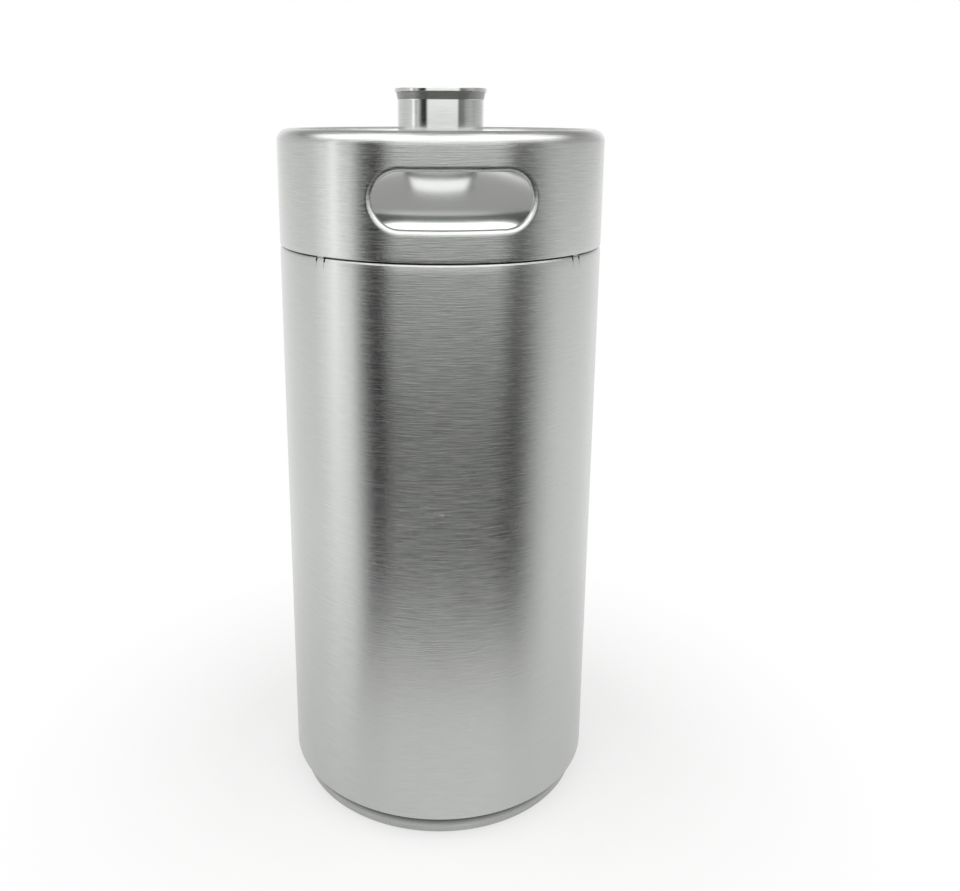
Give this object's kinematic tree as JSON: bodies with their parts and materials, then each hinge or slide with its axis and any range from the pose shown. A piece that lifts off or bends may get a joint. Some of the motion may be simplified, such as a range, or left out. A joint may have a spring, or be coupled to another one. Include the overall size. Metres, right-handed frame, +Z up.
{
  "type": "stainless steel growler",
  "caption": "Single-wall keg-shaped steel bottle with a slotted handle collar, a recessed foot ring and a round screw cap.",
  "frame": {"origin": "middle of the foot ring on the floor", "axes": "+Z up the growler's axis, the two grip slots face -Y and +Y"},
  "size_m": [0.138, 0.138, 0.3137],
  "materials": {
    "brushed_shell": "sheet brushed round the body in fine lines",
    "polished_head": "pressed and polished",
    "foot_steel": "satin",
    "cap_steel": "turned, with fine scratches",
    "neck_steel": "turned",
    "weld_steel": "as welded, pickled",
    "silicone": "translucent white, matt"
  },
  "bodies": {
    "vessel": {"body_tube": "brushed_shell", "handle_collar": "brushed_shell", "top_head": "polished_head", "bottom_head": "polished_head", "foot_ring": "foot_steel", "neck": "neck_steel", "top_head_weld": "weld_steel", "bottom_head_weld": "weld_steel", "foot_ring_weld": "weld_steel", "neck_weld": "weld_steel", "collar_tack_welds": "weld_steel"},
    "gasket": {"cap_gasket": "silicone"},
    "cap": {"cap": "cap_steel"}
  },
  "joints": [
    {"name": "cap_rise", "type": "slide", "parent": "vessel", "child": "gasket", "axis": [0, 0, 1], "range_m": [0, 0.015]},
    {"name": "cap_turn", "type": "hinge", "parent": "gasket", "child": "cap", "pos_m": [0, 0, 0.3], "axis": [0, 0, 1], "range_deg": [0, 1800]}
  ],
  "couplings": [
    {"joint": "cap_rise", "follows": "cap_turn", "m_per_rad": 0.00047746}
  ]
}
